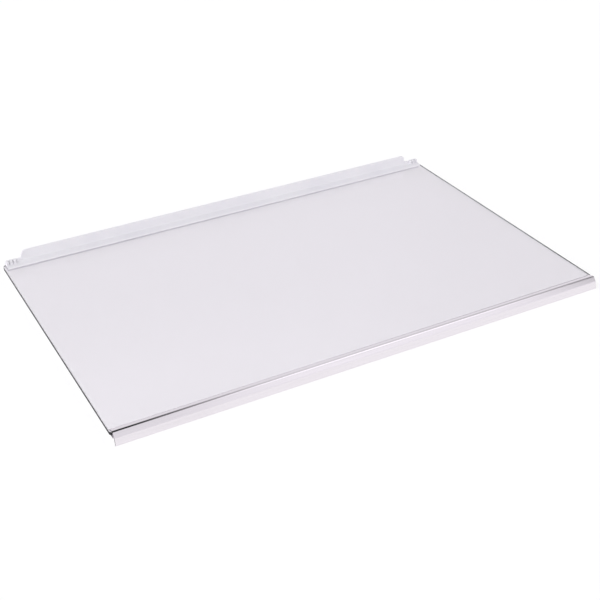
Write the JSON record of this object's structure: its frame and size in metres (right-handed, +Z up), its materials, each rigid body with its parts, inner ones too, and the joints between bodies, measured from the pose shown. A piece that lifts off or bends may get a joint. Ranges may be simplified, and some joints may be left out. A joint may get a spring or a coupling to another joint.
{
  "type": "refrigerator glass shelf",
  "caption": "Flat clear glass shelf for a refrigerator, with a silver profile along its front edge and a white rear strip with a raised back stop.",
  "frame": {"origin": "middle of the shelf's base, at the level of the foot of the front trim", "axes": "+X along the front edge to the right as the user faces the shelf, +Y from front to rear, +Z up"},
  "size_m": [0.475, 0.3072, 0.0218],
  "materials": {
    "clear_glass": "clear toughened glass with ground edges",
    "silver_trim": "silver foil on an extruded plastic profile",
    "white_trim": "satin white moulding"
  },
  "bodies": {
    "root": {"glass_pane": "clear_glass", "front_trim": "silver_trim", "rear_trim": "white_trim"}
  },
  "joints": []
}
